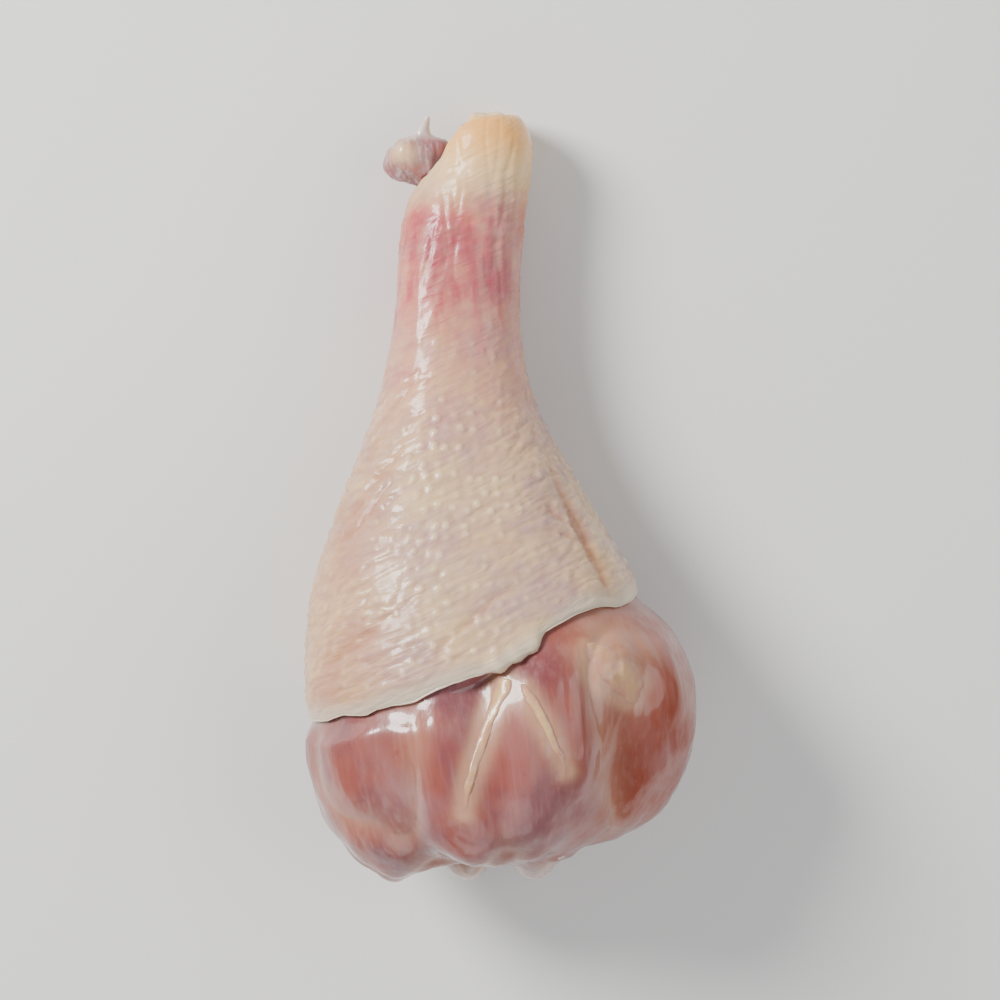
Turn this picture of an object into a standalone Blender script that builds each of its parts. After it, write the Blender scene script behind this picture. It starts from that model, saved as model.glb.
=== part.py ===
"""A raw chicken drumstick, lying on its flattened side with the hock end at +Y.

Loose skin wraps the leg from the hock down to a slanting cut edge. Past that edge the muscle heads
bulge bare round the knee. One bone runs through the meat, and its gristle shows at both ends.
Fat lies on the bare meat. At the hock the skin is cut slantwise, and a cut bundle of tendon swells
out of the opening and ends in a thin strand.
"""

import math

import bmesh
import bpy
import numpy as np
from mathutils import Vector
from mathutils.bvhtree import BVHTree

mm = 0.001

# Driving sizes. Lengths along the leg are counted from the tip of the hock.
LEG_LENGTH = 138 * mm
HOCK_CENTRE = 9 * mm
KNEE_CENTRE = 110 * mm
SKIN_THICKNESS = 1.3 * mm
SKIN_CLEARANCE = 0.6 * mm

# The leg's outline: along the leg, middle across, half width, middle height and half height.
STATIONS_MM = (
    (9, 0.7, 8.4, 8.5, 8.8),
    (15, -1.9, 10.4, 8.9, 9.2),
    (22, -3.4, 11.0, 9.8, 9.5),
    (34, -4.0, 11.0, 11.2, 10.0),
    (50, -4.6, 13.6, 13.2, 12.2),
    (66, -3.2, 20.6, 16.8, 16.6),
    (82, -0.8, 28.0, 20.2, 21.2),
    (98, 2.6, 33.4, 22.2, 24.0),
    (110, 3.2, 34.4, 22.6, 24.4),
)
CROSS_ROUNDNESS = 2.15
HOCK_ROUNDNESS = 2.5
KNEE_ROUNDNESS = 2.2

# Swellings under the skin: height, centre and half length along the leg, centre and half angle.
BULGES = (
    (1.0 * mm, 84 * mm, 17 * mm, 2.5, 0.8),
    (0.9 * mm, 36 * mm, 13 * mm, 2.3, 0.45),
)

# The skin's opening at the hock is cut back on one side. Its nearest and furthest distances are
# counted from the tip over the rounded end, which takes up END_ARC of them.
END_ARC = 13.5 * mm
OPENING_NEAR = 5.2 * mm
OPENING_FAR = 19.5 * mm
OPENING_SIDE = math.radians(192)
OPENING_SHARPNESS = 5

# The skin's cut edge: its mean distance from the hock, and how far it slants and waves.
EDGE_MEAN = 94.0 * mm
EDGE_SLANT = 11.5 * mm
EDGE_WAVES = ((2, 0.9 * mm, 0.6), (3, 0.7 * mm, 2.1), (5, 0.5 * mm, 0.3))
LIP_BULGE = 0.35 * mm
BARE_SWELL = 1.2 * mm

# Muscle heads round the knee: angle round the leg, share of the way out from the middle, centre
# along the leg, half length, half width and half depth in millimetres, and twist in degrees.
MUSCLES = (
    (168, 0.46, 106, 32, 17.5, 18.8, 8),
    (118, 0.56, 107, 26, 11.5, 12.6, -26),
    (66, 0.56, 104, 26, 14.0, 12.6, 18),
    (8, 0.56, 103, 25, 13.5, 15.6, -14),
    (-42, 0.60, 106, 24, 12.0, 13.4, 22),
    (-96, 0.54, 107, 26, 15.5, 12.4, -12),
)
CORE_SHARE = 0.78
BLEND_POWER = 22

# The rays fan out round the knee to this lean, in degrees, and are smoothed more as they draw together.
KNEE_FAN = 54
FAN_SMOOTHING = 8

# The bone's middle line, and its half width and half height, all by distance along the leg.
BONE_LINE_MM = (
    (0, 0.9, 8.6),
    (12, 1.1, 9.0),
    (34, -3.4, 11.2),
    (60, -3.4, 15.6),
    (90, 1.6, 21.0),
    (134, 3.4, 22.8),
)
BONE_GIRTH_MM = (
    (0.4, 2.0, 2.4),
    (1.0, 3.0, 3.3),
    (2.0, 3.6, 3.8),
    (3.2, 4.2, 4.4),
    (5.5, 5.0, 5.3),
    (9, 5.2, 5.5),
    (14, 5.0, 5.2),
    (22, 4.4, 4.4),
    (50, 3.9, 3.9),
    (88, 4.4, 4.4),
    (102, 6.2, 5.8),
    (112, 8.4, 7.6),
    (121, 11.4, 9.6),
    (127, 12.4, 10.2),
    (130.5, 11.4, 9.2),
    (132.6, 8.8, 7.0),
    (133.4, 5.0, 4.0),
)
GROOVE_DEPTH = 1.0 * mm
GROOVE_HALF_WIDTH = 2.2 * mm

# The channel that the bone runs through, from the mouth at the knee back to the shank.
KNEE_MOUTH = 128.5 * mm
MOUTH_CLEARANCE = 0.9 * mm
BONE_CLEARANCE = 0.55 * mm
BROW_BULGE = 1.6 * mm
CHANNEL_STATIONS_MM = (127, 124, 121, 116, 112, 107, 102, 94, 86, 78, 70, 62, 54, 46, 38, 30, 21)

# The cut tendons, from the root under the skin to the strand's tip: along the leg, across, height,
# half width and half thickness.
TENDON_LINE_MM = (
    (19.5, -7.2, 8.6, 0.9, 1.2),
    (17.0, -7.0, 8.2, 1.3, 1.8),
    (15.2, -6.6, 7.8, 1.3, 1.8),
    (14.2, -7.3, 7.4, 1.8, 1.6),
    (13.2, -9.7, 7.0, 4.4, 2.1),
    (12.2, -11.0, 7.2, 5.4, 3.0),
    (10.8, -11.3, 7.7, 5.8, 3.7),
    (9.2, -11.0, 8.0, 5.9, 4.0),
    (7.6, -10.8, 8.2, 5.6, 3.8),
    (6.4, -10.6, 8.5, 4.6, 3.1),
    (5.6, -10.6, 8.8, 3.0, 2.2),
    (4.9, -10.5, 9.2, 1.4, 1.4),
    (3.8, -10.1, 9.8, 0.9, 0.9),
    (2.7, -9.7, 10.4, 0.65, 0.65),
    (1.7, -9.4, 11.0, 0.35, 0.35),
)
TENDON_LUMPS = ((3, 0.07, 0.4), (4, 0.05, 1.9))

# The fat on top of the bare meat: along the leg, across and half width.
FAT_LINES_MM = {
    "fat_strand_long": (
        (95.8, 4, 1.6),
        (98, 3.4, 1.9),
        (101, 2, 1.2),
        (107, 0, 1.0),
        (113, -2, 0.9),
        (119, -3, 0.4),
    ),
    "fat_strand_short": ((96.8, 7, 0.7), (99, 8.4, 1.3), (103, 10.6, 1.1), (108, 13, 0.9), (112, 15, 0.4)),
    "fat_pad": ((90.2, 18.6, 1.0), (92, 20.6, 3.4), (95, 22.8, 4.6), (98, 24.6, 3.8), (101, 26, 1.0)),
}
FAT_THICKNESS = 1.2 * mm
FAT_GAP = 0.55 * mm

# Points round each ring, the skin's rows, and how much closer these lie at the hock. The meat begins
# under one of them.
AROUND = 48
BONE_AROUND = 24
TENDON_AROUND = 20
SKIN_ROWS = 34
ROW_CROWDING = 1.2
MEAT_FIRST_ROW = 8


def column_of(table, column):
    return np.array([row[column] for row in table]) * mm


def outline(column, along):
    """Reads one column of the outline as a smooth curve, level at the knee."""
    at, value = column_of(STATIONS_MM, 0), column_of(STATIONS_MM, column)
    slope = np.gradient(value, at)
    slope[-1] = 0
    along = np.clip(along, at[0], at[-1])
    k = np.clip(np.searchsorted(at, along) - 1, 0, len(at) - 2)
    step = at[k + 1] - at[k]
    t = (along - at[k]) / step
    return (
        value[k] * (1 + 2 * t) * (1 - t) ** 2
        + slope[k] * step * t * (1 - t) ** 2
        + value[k + 1] * t * t * (3 - 2 * t)
        + slope[k + 1] * step * t * t * (t - 1)
    )


def smooth_step(low, high, value):
    t = np.clip((value - low) / (high - low), 0, 1)
    return t * t * (3 - 2 * t)


def spine(along):
    """The middle of the leg at a distance from the hock, as across, along and height."""
    along = np.clip(along, HOCK_CENTRE, KNEE_CENTRE)
    return np.stack([outline(1, along), along, outline(3, along)], -1)


def heading(lean, angle):
    """A ray's direction. Lean is 0 straight out, positive towards the knee, negative to the hock."""
    out = np.cos(lean)
    return np.stack([out * np.cos(angle), np.sin(lean) + 0 * angle, out * np.sin(angle)], -1)


def superellipse(first, second, power):
    return (np.abs(first) ** power + np.abs(second) ** power) ** (-1 / power)


def bulge(along, angle, height, centre_along, half_length, centre_angle, half_angle):
    """A soft swelling on the skin, in the shape of a bell along the leg and round it."""
    off_angle = np.angle(np.exp(1j * (angle - centre_angle))) / half_angle
    return height * np.exp(-(((along - centre_along) / half_length) ** 2) - off_angle**2)


def skin_reach(along, lean, angle):
    """How far the skin's outer side lies from the spine along a ray, rounded off at both ends."""
    wide, high = outline(2, along), outline(4, along)
    out = superellipse(np.cos(angle) / wide, np.sin(angle) / high, CROSS_ROUNDNESS)
    end = np.where(lean < 0, HOCK_CENTRE, LEG_LENGTH - KNEE_CENTRE)
    power = np.where(lean < 0, HOCK_ROUNDNESS, KNEE_ROUNDNESS)
    reach = superellipse(np.cos(lean) / out, np.sin(lean) / end, power)
    return reach + sum(bulge(along, angle, *each) for each in BULGES)


def muscle_reach(along, lean, angle):
    """How far the union of the muscle heads lies from the spine along a ray."""
    origin, way = spine(along), heading(lean, angle)
    total = (CORE_SHARE * skin_reach(along, lean, angle)) ** BLEND_POWER
    middle, _, height = spine(np.array(KNEE_CENTRE))
    wide, high = outline(2, KNEE_CENTRE), outline(4, KNEE_CENTRE)
    for degrees, out, centre_along, length, width, depth, twist in MUSCLES:
        turn, swing = math.radians(degrees), math.radians(twist)
        outward = np.array([math.cos(turn), 0, math.sin(turn)])
        sideways = np.array([-math.sin(turn), 0, math.cos(turn)])
        lengthways = np.array([0, 1, 0])
        centre = np.array(
            [middle + out * wide * math.cos(turn), centre_along * mm, height + out * high * math.sin(turn)]
        )
        axes = np.array(
            [
                outward / (depth * mm),
                (lengthways * math.cos(swing) + sideways * math.sin(swing)) / (length * mm),
                (sideways * math.cos(swing) - lengthways * math.sin(swing)) / (width * mm),
            ]
        )
        start, step = (origin - centre) @ axes.T, way @ axes.T
        a, b, c = (step * step).sum(-1), (start * step).sum(-1), (start * start).sum(-1) - 1
        root = b * b - a * c
        far_side = np.where(root > 0, (np.sqrt(np.maximum(root, 0)) - b) / a, 0)
        total = total + np.maximum(far_side, 0) ** BLEND_POWER
    return total ** (1 / BLEND_POWER)


def edge_along(angle):
    """Where the skin ends, at an angle round the leg."""
    waves = sum(size * np.sin(count * angle + phase) for count, size, phase in EDGE_WAVES)
    return EDGE_MEAN - EDGE_SLANT * np.cos(angle) + waves


def points_at(along, lean, angle, reach, lowest):
    """The row of points where rays from the spine end, flattened where the leg lies on its side."""
    points = spine(along) + heading(lean, angle) * reach[:, None]
    points[:, 2] = np.maximum(points[:, 2], lowest)
    return points


def angles():
    return np.linspace(0, 2 * math.pi, AROUND, endpoint=False)


def rays_at(travel, angle):
    """The rays that meet the skin at a distance over its surface from the hock's tip."""
    lean = -math.pi / 2 * np.maximum(1 - travel / END_ARC, 0)
    return HOCK_CENTRE + np.maximum(travel - END_ARC, 0), lean, angle


def skin_rows():
    """The rays of each row of the skin, from the hock's opening along the leg to the cut edge."""
    angle = angles()
    side = (0.5 + 0.5 * np.cos(angle - OPENING_SIDE)) ** OPENING_SHARPNESS
    start = OPENING_NEAR + (OPENING_FAR - OPENING_NEAR) * side
    end = END_ARC + edge_along(angle) - HOCK_CENTRE
    shares = np.linspace(0, 1, SKIN_ROWS) ** ROW_CROWDING
    return [rays_at(start + (end - start) * share, angle) for share in shares]


def make_skin():
    rows = skin_rows()
    outer = [points_at(*row, skin_reach(*row), 0) for row in rows]
    inner = [
        points_at(*row, skin_reach(*row) - SKIN_THICKNESS, SKIN_THICKNESS)
        for row in rows[:4] + rows[4:-1:2] + rows[-1:]
    ]
    lip = (outer[-1] + inner[-1]) / 2 + (0, LIP_BULGE, 0)
    return make_object("skin", outer + [lip] + inner[::-1], (0.80, 0.66, 0.55), 0.4, closed=True)


def make_meat():
    """The meat's rows run outside from the hock to the knee, then back along the bone's channel.

    Under the skin they use the skin's own rays, so that the two stay clear of each other.
    """
    angle = angles()
    edge = edge_along(angle)
    covered = skin_rows()[MEAT_FIRST_ROW:-1:2] + skin_rows()[-1:]
    bare = [
        (edge + (KNEE_CENTRE - edge) * share, np.zeros(AROUND), angle)
        for share in (0.06, 0.14, 0.26, 0.4, 0.55, 0.7, 0.85, 1)
    ]
    fan = [
        (np.full(AROUND, KNEE_CENTRE), np.full(AROUND, lean), angle)
        for lean in np.radians(np.linspace(0, KNEE_FAN, 10)[1:])
    ]
    depth = SKIN_THICKNESS + SKIN_CLEARANCE
    outer = []
    for along, lean, angle in covered + bare + fan:
        under = skin_reach(along, lean, angle) - depth
        past_edge = np.where(lean > 0, 1, smooth_step(0.2 * mm, 7 * mm, along - edge))
        swollen = under + past_edge * (depth + BARE_SWELL)
        reach = np.where(past_edge > 0, np.minimum(muscle_reach(along, lean, angle), swollen), under)
        for _ in range(int(lean.max() * FAN_SMOOTHING)):
            reach = (np.roll(reach, 1) + 2 * reach + np.roll(reach, -1)) / 4
        outer.append(points_at(along, lean, angle, reach, (1 - past_edge) * depth))
    mouth = bone_row(KNEE_MOUTH, AROUND, MOUTH_CLEARANCE)
    brow = outer[-1] * 0.4 + mouth * 0.6 + (0, BROW_BULGE, 0)
    channel = [bone_row(along * mm, AROUND, BONE_CLEARANCE) for along in CHANNEL_STATIONS_MM]
    return make_object("meat", outer + [brow, mouth] + channel, (0.66, 0.36, 0.32), 0.35, closed=True)


def read(table, column, along):
    """Reads one column of a table that starts with the distance along the leg."""
    return np.interp(along, column_of(table, 0), column_of(table, column))


def bone_row(along, count, extra=0.0):
    """One ring round the bone, grown by extra."""
    angle = np.linspace(0, 2 * math.pi, count, endpoint=False)
    wide, high = read(BONE_GIRTH_MM, 1, along) + extra, read(BONE_GIRTH_MM, 2, along) + extra
    across = read(BONE_LINE_MM, 1, along) + wide * np.cos(angle)
    return np.stack(
        [across, np.full(count, along), read(BONE_LINE_MM, 2, along) + high * np.sin(angle)], -1
    )


def make_bone():
    """Each end of the bone has a groove between its two rounded halves."""
    shaft = np.arange(22, 100, 8)
    ends = [row[0] for row in BONE_GIRTH_MM if not 20 < row[0] < 100]
    stations = sorted({*shaft, *ends, 18, 107, 116, 124})
    rows = [bone_row(along * mm, BONE_AROUND) for along in stations]
    for row, inwards in [(row, 1) for row in rows[:4]] + [(row, -1) for row in rows[-3:]]:
        off_middle = (row[:, 0] - row[:, 0].mean()) / GROOVE_HALF_WIDTH
        row[:, 1] += inwards * GROOVE_DEPTH * np.exp(-(off_middle**2))
    return make_object("bone", rows, (0.86, 0.80, 0.74), 0.3, capped=True)


def make_tendon():
    """A narrow root, an uneven swelling out of the skin's opening, and a thin strand."""
    angle = np.linspace(0, 2 * math.pi, TENDON_AROUND, endpoint=False)
    uneven = 1 + sum(size * np.sin(count * angle + phase) for count, size, phase in TENDON_LUMPS)
    rows = []
    for along, across, height, half_width, half_thickness in np.array(TENDON_LINE_MM) * mm:
        sideways = across + half_width * uneven * np.cos(angle)
        upwards = height + half_thickness * uneven * np.sin(angle)
        rows.append(np.stack([sideways, np.full(TENDON_AROUND, along), upwards], -1))
    return make_object("tendon", rows, (0.70, 0.58, 0.58), 0.3, capped=True)


def make_fat(name, line, meat):
    """A strip of fat whose underside follows the top of the meat, with a rounded back."""
    corners, faces = meat.data.vertices, meat.data.polygons
    surface = BVHTree.FromPolygons([v.co for v in corners], [f.vertices for f in faces])
    underside = [(share, 0) for share in (-1, -0.6, -0.2, 0.2, 0.6)]
    back = [(share, math.sqrt(1 - 0.8 * share**2)) for share in (1, 0.6, 0, -0.6)]
    rows = []
    for along in np.linspace(line[0][0], line[-1][0], 4 * len(line)) * mm:
        row = []
        half_width = read(line, 2, along)
        thickness = min(FAT_THICKNESS, half_width)
        for share, rise in underside + back:
            across = read(line, 1, along) + share * half_width
            meat_top = surface.ray_cast(place((across, along, LEG_LENGTH)), Vector((0, 0, -1)))[0].z
            row.append((across, along, meat_top + FAT_GAP + rise * thickness))
        rows.append(row)
    return make_object(name, rows, (0.85, 0.74, 0.62), 0.35, capped=True)


def place(point):
    """Turns across, along and height into the model's own frame, with the hock at +Y."""
    return Vector((point[0], LEG_LENGTH / 2 - point[1], point[2]))


def make_object(name, rows, colour, roughness, closed=False, capped=False):
    """Lofts rows of points into one solid. Closed joins the last row to the first, capped fills both."""
    bm = bmesh.new()
    rings = [[bm.verts.new(place(point)) for point in row] for row in rows]
    pairs = list(zip(rings, rings[1:]))
    if closed:
        pairs.append((rings[-1], rings[0]))
    for first, second in pairs:
        for k in range(len(first)):
            after = (k + 1) % len(first)
            bm.faces.new((first[k], first[after], second[after], second[k]))
    if capped:
        caps = [bm.faces.new(rings[0]), bm.faces.new(rings[-1])]
        bmesh.ops.poke(bm, faces=caps)
    bmesh.ops.recalc_face_normals(bm, faces=bm.faces)
    mesh = bpy.data.meshes.new(name)
    bm.to_mesh(mesh)
    bm.free()
    mesh.shade_smooth()
    mesh.materials.append(make_material(name, colour, roughness))
    made = bpy.data.objects.new(name, mesh)
    bpy.context.scene.collection.objects.link(made)
    return made


def make_material(name, colour, roughness):
    material = bpy.data.materials.new(name)
    material.use_nodes = True
    shader = material.node_tree.nodes["Principled BSDF"]
    shader.inputs["Base Color"].default_value = (*colour, 1)
    shader.inputs["Roughness"].default_value = roughness
    shader.inputs["Metallic"].default_value = 0
    return material


def main():
    for old in list(bpy.data.objects):
        bpy.data.objects.remove(old)
    meat = make_meat()
    parts = [make_skin(), meat, make_bone(), make_tendon()]
    parts += [make_fat(name, line, meat) for name, line in FAT_LINES_MM.items()]
    corners = np.array([v.co for part in parts for v in part.data.vertices])
    low, high = corners.min(0), corners.max(0)
    base = Vector(((low[0] + high[0]) / 2, (low[1] + high[1]) / 2, low[2]))
    for part in parts:
        for vertex in part.data.vertices:
            vertex.co -= base


main()
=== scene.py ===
import math

import bmesh
import bpy
import numpy as np
from mathutils import Matrix, Vector, noise
from mathutils.bvhtree import BVHTree
from mathutils.kdtree import KDTree


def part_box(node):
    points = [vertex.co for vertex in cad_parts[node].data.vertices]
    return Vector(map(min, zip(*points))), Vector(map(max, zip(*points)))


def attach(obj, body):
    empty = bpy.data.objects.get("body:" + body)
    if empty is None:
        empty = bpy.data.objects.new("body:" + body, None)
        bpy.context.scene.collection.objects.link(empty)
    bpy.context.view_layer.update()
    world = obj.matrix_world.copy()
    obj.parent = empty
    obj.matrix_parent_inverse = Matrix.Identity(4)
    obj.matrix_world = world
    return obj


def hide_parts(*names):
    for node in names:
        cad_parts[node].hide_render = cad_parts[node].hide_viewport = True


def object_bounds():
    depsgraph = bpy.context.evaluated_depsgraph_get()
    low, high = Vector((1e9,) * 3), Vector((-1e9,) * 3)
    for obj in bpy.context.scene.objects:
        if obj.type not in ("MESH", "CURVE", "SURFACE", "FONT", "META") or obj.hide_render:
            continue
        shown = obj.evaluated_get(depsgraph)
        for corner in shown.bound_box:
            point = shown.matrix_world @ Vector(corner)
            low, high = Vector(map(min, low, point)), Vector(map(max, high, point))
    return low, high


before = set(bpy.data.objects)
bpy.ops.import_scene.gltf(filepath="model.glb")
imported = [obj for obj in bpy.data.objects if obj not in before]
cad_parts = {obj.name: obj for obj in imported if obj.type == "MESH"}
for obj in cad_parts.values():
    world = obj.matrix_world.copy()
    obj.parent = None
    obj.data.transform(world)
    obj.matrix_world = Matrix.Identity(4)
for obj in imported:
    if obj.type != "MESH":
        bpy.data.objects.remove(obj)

# The drumstick lies on its side. Lengths along the leg are counted from the tip of the hock, and
# both they and the distances across are found from the bone's knee end.
mm = 0.001
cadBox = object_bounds()
boneReach = 133.4 * mm
boneAcross = 3.4 * mm
boneLow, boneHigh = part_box("bone")
hockTip = boneLow[1] + boneReach
acrossShift = boneAcross - (boneLow[0] + boneHigh[0]) / 2


def alongOf(points):
    return hockTip - points[:, 1]


def acrossOf(points):
    return points[:, 0] + acrossShift


def spotAt(across, along, height):
    return Vector((across * mm - acrossShift, hockTip - along * mm, height * mm))


# Maths on arrays.

def bell(value, middle, halfWidth):
    return np.exp(-(((value - middle) / halfWidth) ** 2))


def rise(value, low, high):
    # 0 below low, 1 above high, and smooth between
    t = np.clip((value - low) / (high - low), 0, 1)
    return t * t * (3 - 2 * t)


def fall(value, low, high):
    # 1 below low, 0 above high, and smooth between
    return rise(-value, -high, -low)


def field(points, size, seed):
    # smooth noise from -1 to 1, with features of the given size along X, Y and Z
    return np.array([noise.noise(p) for p in (points / np.array(size) + seed * 7.31).tolist()])


def ridges(points, size, seed):
    # noise turned into thin lines, 1 on a line and 0 away from it
    return 1 - np.minimum(1, np.abs(field(points, size, seed)) * 4)


def turned(points, degrees):
    # the points in axes turned about Z
    cosine, sine = math.cos(math.radians(degrees)), math.sin(math.radians(degrees))
    return points @ np.array([[cosine, -sine, 0], [sine, cosine, 0], [0, 0, 1]])


def distancesTo(points, targets):
    tree = KDTree(len(targets))
    for k, target in enumerate(targets):
        tree.insert(target, k)
    tree.balance()
    found = [tree.find(point) for point in points]
    return np.array([hit[2] for hit in found]), np.array([hit[1] for hit in found])


# Meshes.

sectionReach = 4 * mm  # a section takes the points this near to it along the leg


def cornersOf(node):
    return np.array([v.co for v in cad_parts[node].data.vertices])


def sectionOf(points, along):
    return points[np.abs(alongOf(points) - along) < sectionReach]


def sectionMiddle(points, along):
    near = sectionOf(points, along)
    return (near.min(0) + near.max(0)) / 2


def mergedCopy(node):
    # the node's triangles as joined quads, where two triangles make a good one
    bm = bmesh.new()
    bm.from_mesh(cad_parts[node].data)
    bmesh.ops.remove_doubles(bm, verts=bm.verts, dist=0.001 * mm)
    bmesh.ops.join_triangles(
        bm,
        faces=bm.faces,
        angle_face_threshold=math.radians(50),
        angle_shape_threshold=math.radians(60),
    )
    return bm


def surfaceOf(node):
    # the node's plain surface, to cast rays on
    bm = mergedCopy(node)
    surface = BVHTree.FromBMesh(bm)
    bm.free()
    return surface


def smoothed(bm, levels):
    # the shape after Subdivision Surface, as a new bmesh
    mesh = bpy.data.meshes.new("cage")
    bm.to_mesh(mesh)
    bm.free()
    cage = bpy.data.objects.new("cage", mesh)
    bpy.context.scene.collection.objects.link(cage)
    subdivision = cage.modifiers.new("subdivision", "SUBSURF")
    subdivision.levels = subdivision.render_levels = levels
    shape = bpy.data.meshes.new_from_object(cage.evaluated_get(bpy.context.evaluated_depsgraph_get()))
    fine = bmesh.new()
    fine.from_mesh(shape)
    bpy.data.objects.remove(cage)
    for used in (mesh, shape):
        bpy.data.meshes.remove(used)
    return fine


def refine(bm, wanted):
    # one more subdivision, on the faces that the test picks
    edges = {edge for face in bm.faces if wanted(face) for edge in face.edges}
    bmesh.ops.subdivide_edges(bm, edges=list(edges), cuts=1, use_grid_fill=True)


def pointsOf(bm):
    bm.normal_update()
    points = np.array([v.co for v in bm.verts])
    normals = np.array([v.normal for v in bm.verts])
    return points, normals


def moveTo(bm, points):
    for vertex, point in zip(bm.verts, points):
        vertex.co = point
    bm.normal_update()


def finishPiece(name, bm, material, nodes, masks):
    # makes the object, with a named attribute for each mask that its material reads
    mesh = bpy.data.meshes.new(name)
    bm.to_mesh(mesh)
    bm.free()
    for mask, values in masks.items():
        layer = mesh.attributes.new(mask, "FLOAT", "POINT")
        layer.data.foreach_set("value", np.clip(values, 0, 1).astype(np.float32))
    mesh.materials.append(material)
    mesh.shade_smooth()
    piece = bpy.data.objects.new(name, mesh)
    bpy.context.scene.collection.objects.link(piece)
    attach(piece, "root")
    if nodes:
        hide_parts(*nodes)
    mesh.calc_loop_triangles()
    print(name, "has", len(mesh.loop_triangles), "triangles")


# Materials.

def shade(red, green, blue):
    # a colour as seen on a screen, 0 to 255, made linear
    return tuple(((c / 255 + 0.055) / 1.055) ** 2.4 for c in (red, green, blue)) + (1,)


class Socket:
    # an output in a shader tree; adding or multiplying it makes Math nodes
    def __init__(self, paint, out):
        self.paint = paint
        self.out = out

    def maths(self, operation, first, second):
        return self.paint.node("ShaderNodeMath", {"operation": operation}, {0: first, 1: second})

    def __add__(self, other):
        return self.maths("ADD", self, other)

    def __mul__(self, other):
        return self.maths("MULTIPLY", self, other)

    __radd__ = __add__
    __rmul__ = __mul__


class Paint:
    # one material; its fixed values are set on the shader's own sockets
    def __init__(self, name, fixed):
        self.material = bpy.data.materials.new(name)
        self.material.use_nodes = True
        self.tree = self.material.node_tree
        self.shader = self.tree.nodes["Principled BSDF"]
        for socket, value in fixed.items():
            self.shader.inputs[socket].default_value = value
        self.position = self.node("ShaderNodeTexCoord", output="Object")

    def node(self, kind, settings=None, values=None, output=0):
        made = self.tree.nodes.new(kind)
        for name, value in (settings or {}).items():
            setattr(made, name, value)
        for key, value in (values or {}).items():
            self.plug(value, made.inputs[key])
        return Socket(self, made.outputs[output])

    def plug(self, value, socket):
        if isinstance(value, Socket):
            self.tree.links.new(value.out, socket)
        else:
            socket.default_value = value

    def feed(self, name, value):
        self.plug(value, self.shader.inputs[name])

    def mask(self, name):
        return self.node("ShaderNodeAttribute", {"attribute_name": name}, output="Fac")

    def streaks(self, sizes, degrees=0, detail=3):
        # noise drawn out to the given sizes, in axes turned about Z
        values = {"Vector": self.position, "Rotation": (0, 0, math.radians(degrees)), "Scale": sizes}
        where = self.node("ShaderNodeMapping", {"vector_type": "TEXTURE"}, values)
        return self.node("ShaderNodeTexNoise", None, {"Vector": where, "Scale": 1, "Detail": detail})

    def clouds(self, size, detail):
        # noise from 0 to 1 with features of the given size
        values = {"Vector": self.position, "Scale": 1 / size, "Detail": detail}
        return self.node("ShaderNodeTexNoise", None, values)

    def between(self, value, low, high, start=0.0, end=1.0):
        values = {0: value, 1: low, 2: high, 3: start, 4: end}
        return self.node("ShaderNodeMapRange", {"interpolation_type": "SMOOTHSTEP"}, values)

    def mix(self, first, second, factor):
        values = {0: factor, 6: first, 7: second}
        return self.node("ShaderNodeMix", {"data_type": "RGBA"}, values, output=2)

    def bump(self, height, distance, strength):
        values = {"Height": height, "Distance": distance, "Strength": strength}
        return self.node("ShaderNodeBump", None, values)


# The loose skin.

skinShape = {
    "follicleSpacing": 2.9 * mm,
    "follicleRadius": 1.05 * mm,
    "follicleHeight": 0.36 * mm,
    "weaveTurn": 25,
    "weaveDepth": 0.20 * mm,
    "wrinkleDepth": 0.34 * mm,
    "pleatDepth": 0.26 * mm,
    "creaseDepth": 0.75 * mm,
    "sagDepth": 0.65 * mm,
    "grainDepth": 0.05 * mm,
    "lipThinning": 0.80 * mm,
    "lipWaves": 1.2 * mm,
    "lumpHeight": 1.3 * mm,
    "lumpHang": 1.5 * mm,
    "fineFaceArea": 0.32 * mm * mm,
    "edgeMiddle": 96 * mm,  # where along the leg the cut edge is centred
    "slices": 36,  # round the leg, with one point of the cut edge in each
    "stations": 22,  # sections whose middles tell the outer side from the inner
    "stationStep": 5 * mm,
}
follicleShape = {
    "rows": (20 * mm, 106 * mm),  # where the rows start and end along the leg
    "rowGap": 0.87,  # the gap between rows and the stray of each, as shares of the spacing
    "stray": 0.24,
    "fullness": 0.9,  # the share of the girth that a row fills
    "fewest": 12,
    "strengths": (0.25, 1.2),
}
# Creases on the top side: along and across at both ends in millimetres, and depth.
skinCreases = (
    (86, 24, 62, 12, 1.0),
    (70, 22, 60, 17, 0.7),
    (52, -14, 62, -20, 0.7),
    (56, -12, 70, -22, 0.6),
    (62, -14, 76, -24, 0.6),
    (46, -11, 56, -17, 0.6),
    (96, -28, 84, -12, 0.5),
    (90, -6, 80, 6, 0.5),
    (68, 11, 71, 15, 0.8),
    (72, 12, 74, 17, 0.6),
)
# Soft lumps that hang over the cut edge: across, along and size in millimetres.
edgeLumps = ((3.5, 92.5, 2.0), (6.5, 91.0, 1.6), (9.4, 90.0, 1.8))
# Where the skin's colours change: the start and end of each change, along the leg or across it.
skinZones = {
    "tip": (4 * mm, 12 * mm),
    "knob": (9 * mm, 18 * mm),
    "bruiseTop": (13 * mm, 20 * mm),
    "bruiseEnd": (28 * mm, 43 * mm),
    "bruiseAcross": (-8 * mm, 8 * mm),
    "creaseShade": (50 * mm, 60 * mm),
    "flankAlong": (50 * mm, 70 * mm),
    "flankAcross": (8 * mm, 26 * mm),  # to the left
}
skinColours = {
    "cream": shade(222, 188, 138),
    "lavender": shade(188, 150, 148),
    "follicle": shade(236, 210, 168),
    # painted shade for the hollows of the weave, wrinkles and pleats
    "hollowShade": shade(156, 112, 104),
    "rose": shade(200, 60, 76),
    "plum": shade(118, 40, 70),
    "fat": shade(248, 170, 68),
    "knob": shade(244, 204, 142),
    # a brownish tone, also used as painted shade in the creases and on the left flank
    "brownAndShade": shade(178, 108, 60),
    "margin": shade(214, 206, 184),
}
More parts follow.
